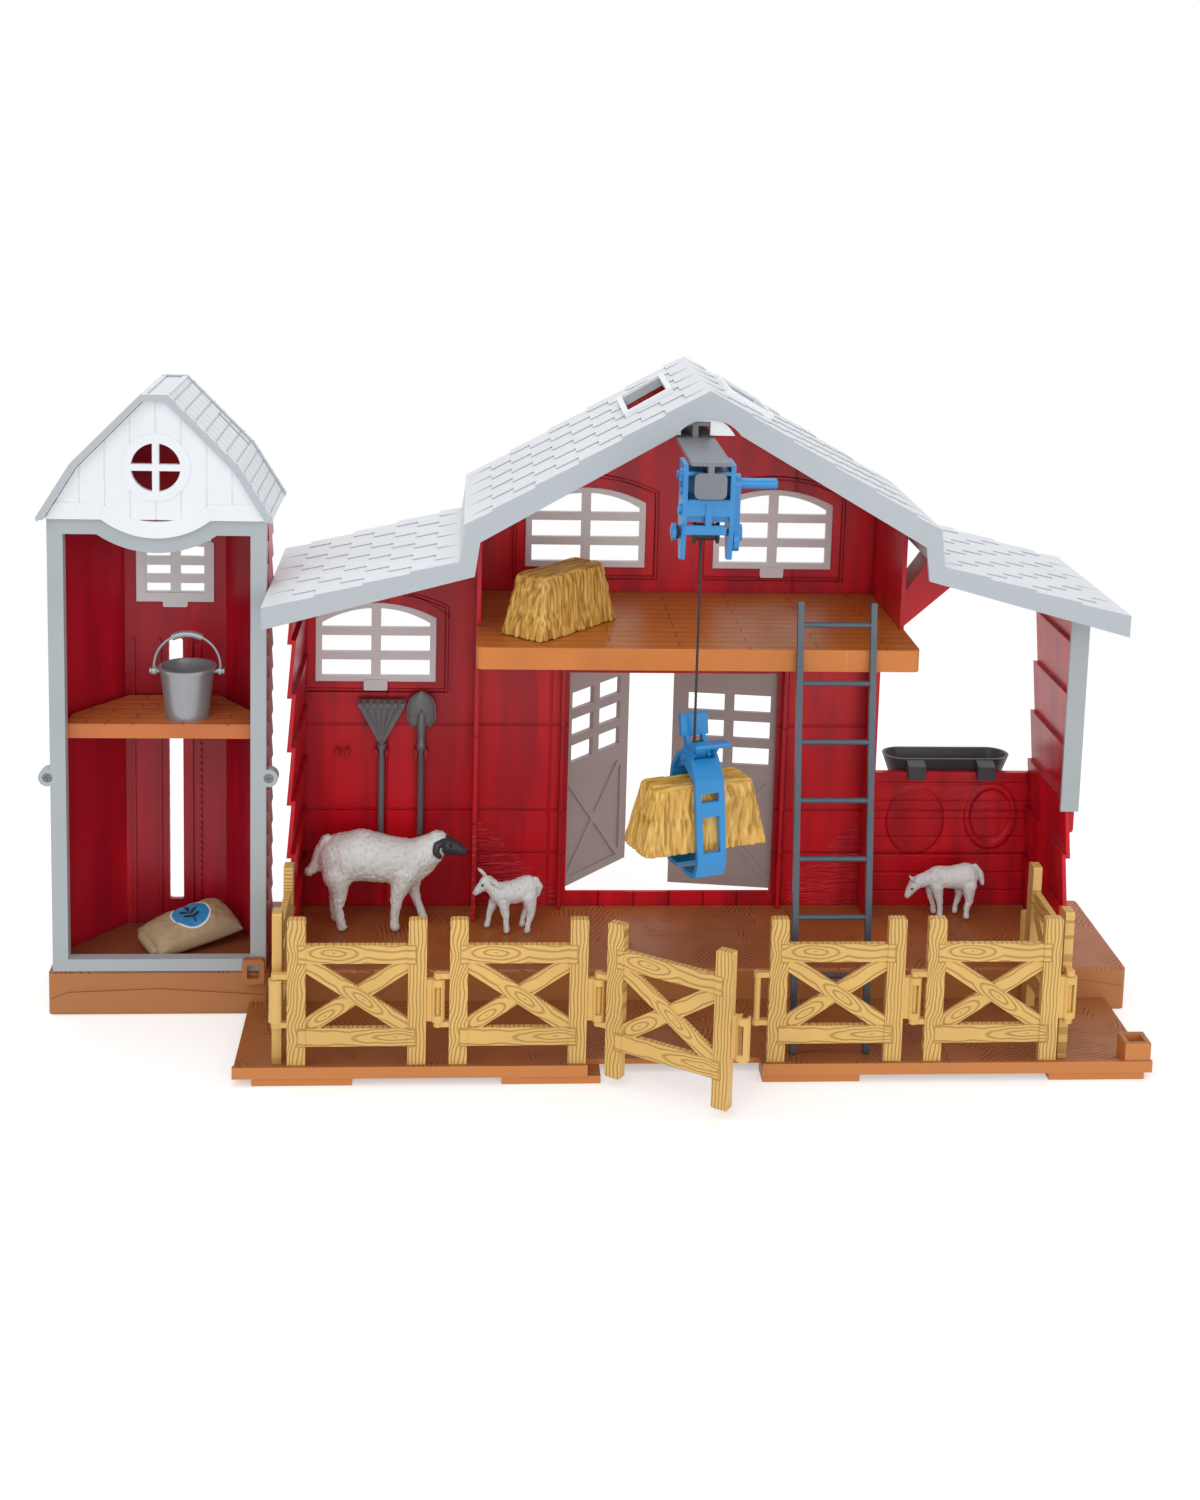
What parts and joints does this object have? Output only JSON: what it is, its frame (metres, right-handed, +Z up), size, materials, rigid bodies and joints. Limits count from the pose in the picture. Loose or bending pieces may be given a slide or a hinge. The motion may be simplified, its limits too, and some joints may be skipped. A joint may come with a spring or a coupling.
{
  "type": "toy barn",
  "caption": "Toy barn with hinged double doors, a lean-to tower with a lift floor, a loft with a rail hoist and claw, a fenced yard with a gate, animals, hay, tools and a ladder.",
  "frame": {"origin": "on the floor, halfway along the moulded base, a little behind the base's front skirt", "axes": "+X to the right along the base, +Y from the open play side to the back, +Z up"},
  "size_m": [0.6158, 0.2749, 0.363],
  "materials": {
    "wall_crimson": "satin moulded red plastic",
    "roof_grey": "satin pale grey moulded shingles",
    "frame_grey": "satin cool grey",
    "gable_white": "satin white planks",
    "base_brown": "satin brown with moulded relief",
    "loft_brown": "satin orange-brown planks",
    "fence_tan": "satin tan with moulded wood grain",
    "hoist_blue": "glossy blue",
    "rail_grey": "satin dark grey",
    "ladder_grey": "satin blue-grey",
    "door_taupe": "satin taupe",
    "window_pale": "satin pale pinkish grey",
    "hay_gold": "matte straw gold with moulded stalks",
    "sack_burlap": "matte burlap tan",
    "bucket_silver": "satin metallic grey",
    "wool_white": "matte cream wool",
    "cord_black": "braided black cord",
    "drum_black": "matte black",
    "screw_steel": "bright zinc",
    "tool_grey": "satin charcoal"
  },
  "bodies": {
    "playset": {"tower_base": "base_brown", "barn_base": "base_brown", "yard_plate": "base_brown", "fence_panel_1": "fence_tan", "fence_panel_2": "fence_tan", "fence_panel_4": "fence_tan", "fence_panel_5": "fence_tan", "fence_side_left": "fence_tan", "fence_side_right": "fence_tan", "barn_back_wall": "wall_crimson", "barn_left_wall": "wall_crimson", "barn_right_wall": "wall_crimson", "corner_trim": "frame_grey", "loft_floor": "loft_brown", "loft_left_wall": "wall_crimson", "loft_right_wall": "wall_crimson", "wing_brace": "wall_crimson", "barn_roof": "roof_grey", "window_bay": "window_pale", "window_loft_left": "window_pale", "window_loft_right": "window_pale", "tower_shell": "wall_crimson", "tower_front_frame": "frame_grey", "tower_screws": "screw_steel", "tower_gable": "gable_white", "tower_roof": "roof_grey", "tower_window": "window_pale", "hoist_rail": "rail_grey", "hoist_bracket": "gable_white", "loft_bale": "hay_gold", "ladder": "ladder_grey", "rake": "tool_grey", "shovel": "tool_grey", "trough": "tool_grey", "feed_sack": "sack_burlap", "sheep": "wool_white", "lamb_left": "wool_white", "lamb_right": "wool_white"},
    "door_left": {"door_left": "door_taupe"},
    "door_right": {"door_right": "door_taupe"},
    "gate": {"gate_panel": "fence_tan"},
    "lift": {"tower_lift_floor": "loft_brown", "bucket": "bucket_silver"},
    "bail": {"bucket_bail": "bucket_silver"},
    "trolley": {"trolley": "hoist_blue"},
    "winch": {"winch_drum": "drum_black", "winch_crank": "hoist_blue"},
    "claw": {"claw_hub": "hoist_blue", "hoist_cord": "cord_black", "claw_bale": "hay_gold"},
    "jaw_front": {"claw_jaw_front": "hoist_blue"},
    "jaw_back": {"claw_jaw_back": "hoist_blue"}
  },
  "joints": [
    {"name": "door_left_swing", "type": "hinge", "parent": "playset", "child": "door_left", "pos_m": [-0.018, 0.0849, 0.1], "axis": [0, 0, 1], "range_deg": [-50, 60]},
    {"name": "door_right_swing", "type": "hinge", "parent": "playset", "child": "door_right", "pos_m": [0.114, 0.0849, 0.1], "axis": [0, 0, -1], "range_deg": [-9, 101]},
    {"name": "gate_swing", "type": "hinge", "parent": "playset", "child": "gate", "pos_m": [-0.005, -0.09, 0.045], "axis": [0, 0, -1], "range_deg": [-33, 57]},
    {"name": "lift_slide", "type": "slide", "parent": "playset", "child": "lift", "axis": [0, 0, 1], "range_m": [-0.105, 0.03]},
    {"name": "bail_swing", "type": "hinge", "parent": "lift", "child": "bail", "pos_m": [-0.2323, 0.014, 0.191], "axis": [1, 0, 0], "range_deg": [-85, 85]},
    {"name": "trolley_slide", "type": "slide", "parent": "playset", "child": "trolley", "axis": [0, 1, 0], "range_m": [-0.004, 0.02]},
    {"name": "crank_turn", "type": "hinge", "parent": "trolley", "child": "winch", "pos_m": [0.041, -0.106, 0.3], "axis": [1, 0, 0], "range_deg": [-340, 680]},
    {"name": "claw_slide", "type": "slide", "parent": "trolley", "child": "claw", "axis": [0, 0, 1], "range_m": [-0.03, 0.06], "deforming": ["hoist_cord"]},
    {"name": "jaw_front_swing", "type": "hinge", "parent": "claw", "child": "jaw_front", "pos_m": [0.041, -0.106, 0.184], "axis": [-0.9397, -0.342, 0], "range_deg": [0, 20]},
    {"name": "jaw_back_swing", "type": "hinge", "parent": "claw", "child": "jaw_back", "pos_m": [0.041, -0.106, 0.184], "axis": [0.9397, 0.342, 0], "range_deg": [0, 20]}
  ],
  "couplings": [
    {"joint": "claw_slide", "follows": "crank_turn", "m_per_rad": 0.005},
    {"joint": "jaw_back_swing", "follows": "jaw_front_swing", "ratio": 1}
  ]
}
